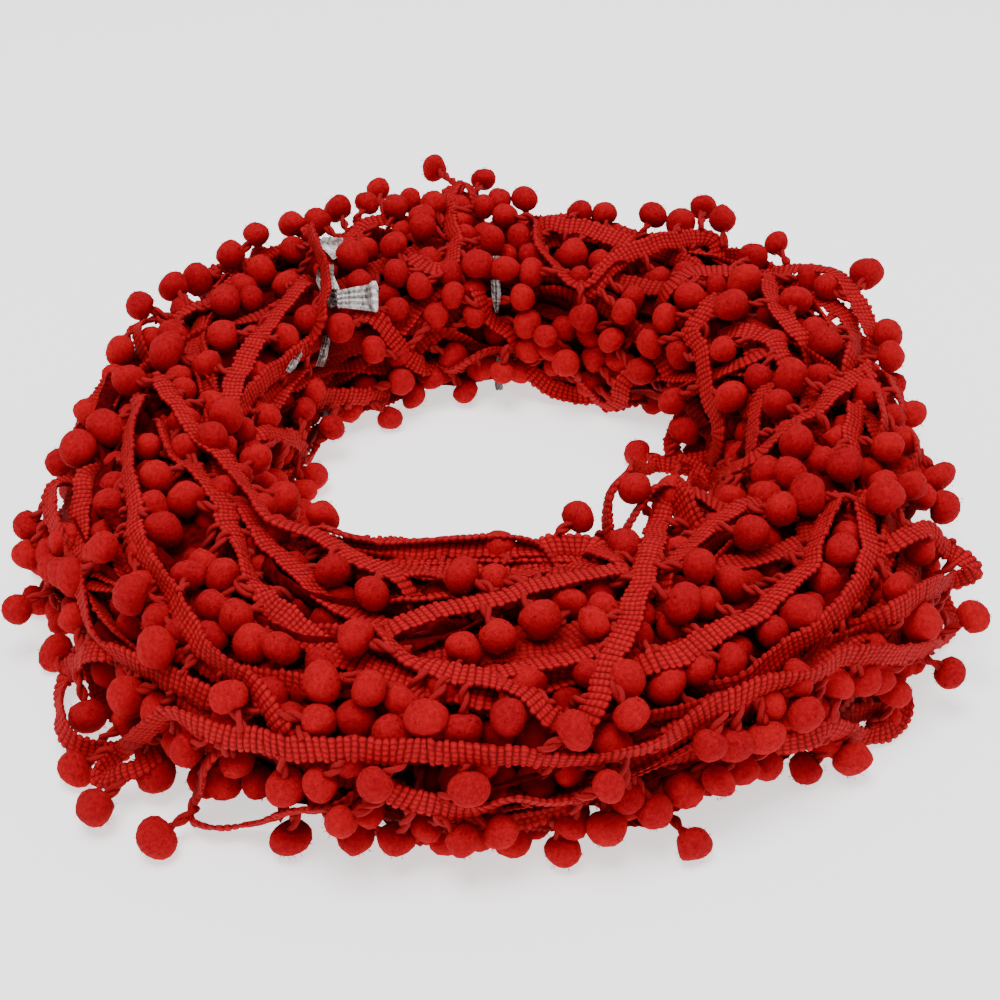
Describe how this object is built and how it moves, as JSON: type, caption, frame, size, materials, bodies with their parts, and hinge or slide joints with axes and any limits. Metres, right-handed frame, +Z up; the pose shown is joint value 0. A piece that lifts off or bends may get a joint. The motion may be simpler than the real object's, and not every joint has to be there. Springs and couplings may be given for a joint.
{
  "type": "hank of pompom trim",
  "caption": "Long woven braid edged with round pompoms, wound into a low wreath with an open middle and held by clear film ties, to be unwound and sewn along an edge.",
  "frame": {"origin": "middle of the underside of the whole part, on the surface that it rests on", "axes": "+Z up, -Y towards the viewer of the pictured front, +X to that viewer's right"},
  "size_m": [0.354, 0.3591, 0.0691],
  "materials": {
    "red_trim": "matte woven braid and fuzzy pompoms",
    "clear_film": "clear glossy film"
  },
  "bodies": {
    "root": {"hank": "red_trim", "tie_left": "clear_film", "tie_back": "clear_film"}
  },
  "joints": []
}
